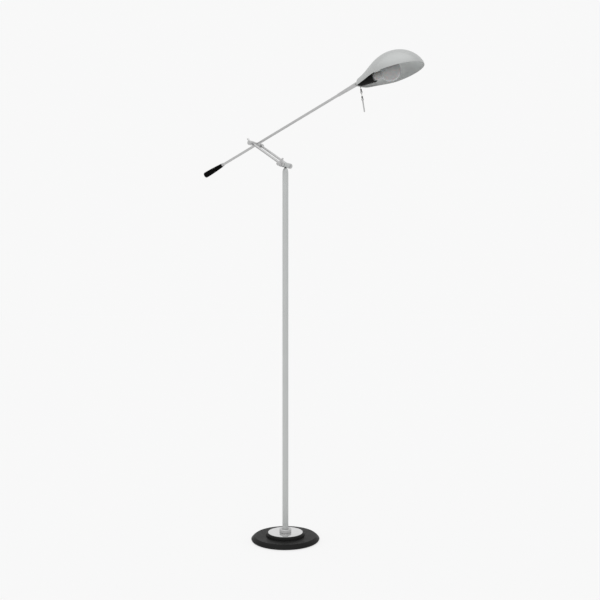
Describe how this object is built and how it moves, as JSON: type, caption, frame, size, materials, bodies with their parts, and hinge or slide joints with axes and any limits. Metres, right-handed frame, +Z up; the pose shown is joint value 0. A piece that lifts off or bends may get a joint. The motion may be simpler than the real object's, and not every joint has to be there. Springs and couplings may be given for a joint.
{
  "type": "adjustable arm floor lamp",
  "caption": "Floor lamp with a round weighted base, slim pole, twin-rod pivoting link, long boom with a grip, and a half-teardrop shade with a pull chain.",
  "frame": {"origin": "centre of the base's underside, on the floor", "axes": "+Z up along the pole; +X horizontal, under the boom, towards the shade; +Y along the two pivot barrels, away from their lock knobs"},
  "size_m": [0.965, 0.2537, 1.7391],
  "materials": {
    "pale_enamel": "satin",
    "polished_steel": "gloss",
    "satin_steel": "satin",
    "black_enamel": "satin",
    "black_grip": "satin",
    "gunmetal": "satin",
    "plated_steel": "satin",
    "brass": "satin",
    "felt": "matte",
    "rubber": "matte",
    "nylon": "satin",
    "holder_plastic": "satin",
    "bulb_white": "satin"
  },
  "bodies": {
    "stand": {"felt_pad": "felt", "base_weight": "black_enamel", "base_step": "black_enamel", "base_plate": "polished_steel", "pole_collar": "satin_steel", "cord_grommet": "rubber", "tie_rod": "plated_steel", "tie_washer": "plated_steel", "tie_nut": "plated_steel", "pole_foot_plug": "plated_steel", "pole_tube": "pale_enamel", "pole_top_cap": "pale_enamel"},
    "swivel": {"swivel_stem": "gunmetal", "swivel_washer": "nylon", "swivel_nut": "plated_steel", "pivot_hub": "pale_enamel"},
    "link": {"lower_axle": "satin_steel", "lower_washer_near": "nylon", "lower_washer_far": "nylon", "lower_eye_near": "satin_steel", "lower_eye_far": "satin_steel", "link_rod_near": "satin_steel", "link_rod_far": "satin_steel", "upper_eye_near": "satin_steel", "upper_eye_far": "satin_steel"},
    "lower_lock": {"lower_knob": "satin_steel", "lower_tommy_bar": "satin_steel"},
    "boom": {"arm_block": "satin_steel", "trunnion_near": "plated_steel", "trunnion_far": "satin_steel", "upper_washer_near": "nylon", "upper_washer_far": "nylon", "boom_tube": "satin_steel", "handle_grip": "black_grip", "handle_ring": "satin_steel", "boom_cone": "satin_steel"},
    "upper_lock": {"upper_knob": "satin_steel", "upper_tommy_bar": "satin_steel"},
    "shade": {"neck_nipple": "plated_steel", "neck_collar": "satin_steel", "shade_shell": "pale_enamel", "socket_cup": "black_enamel", "pull_switch_body": "holder_plastic", "chain_spout": "satin_steel", "lamp_holder": "holder_plastic", "bulb_cap": "plated_steel", "centre_contact": "brass", "bulb_globe": "bulb_white"},
    "pull_chain": {"upper_bead": "gunmetal", "upper_bell": "satin_steel", "lower_bead": "gunmetal", "lower_bell": "satin_steel", "pull_wire": "plated_steel", "pull_rod": "satin_steel"}
  },
  "joints": [
    {"name": "pan_swivel", "type": "hinge", "parent": "stand", "child": "swivel", "pos_m": [0, 0, 1.3848], "axis": [0, 0, 1], "range_deg": [-170, 170]},
    {"name": "link_tilt", "type": "hinge", "parent": "swivel", "child": "link", "pos_m": [0, 0, 1.398], "axis": [0, 1, 0], "range_deg": [-24, 46]},
    {"name": "arm_tilt", "type": "hinge", "parent": "link", "child": "boom", "pos_m": [-0.13679, 0, 1.49027], "axis": [0, 1, 0], "range_deg": [-45, 40]},
    {"name": "shade_swivel", "type": "hinge", "parent": "boom", "child": "shade", "pos_m": [0.30919, 0, 1.65083], "axis": [0.9409, 0, 0.3387], "range_deg": [-160, 160]},
    {"name": "pull_switch", "type": "slide", "parent": "shade", "child": "pull_chain", "axis": [0.1754, 0, -0.9845], "range_m": [0, 0.006], "stiffness_N_per_m": 400, "springref_m": -0.004},
    {"name": "lower_lock_turn", "type": "hinge", "parent": "link", "child": "lower_lock", "pos_m": [0, 0, 1.398], "axis": [0, 1, 0], "range_deg": [0, 180]},
    {"name": "upper_lock_turn", "type": "hinge", "parent": "boom", "child": "upper_lock", "pos_m": [-0.13679, 0, 1.49027], "axis": [0, 1, 0], "range_deg": [0, 180]}
  ]
}
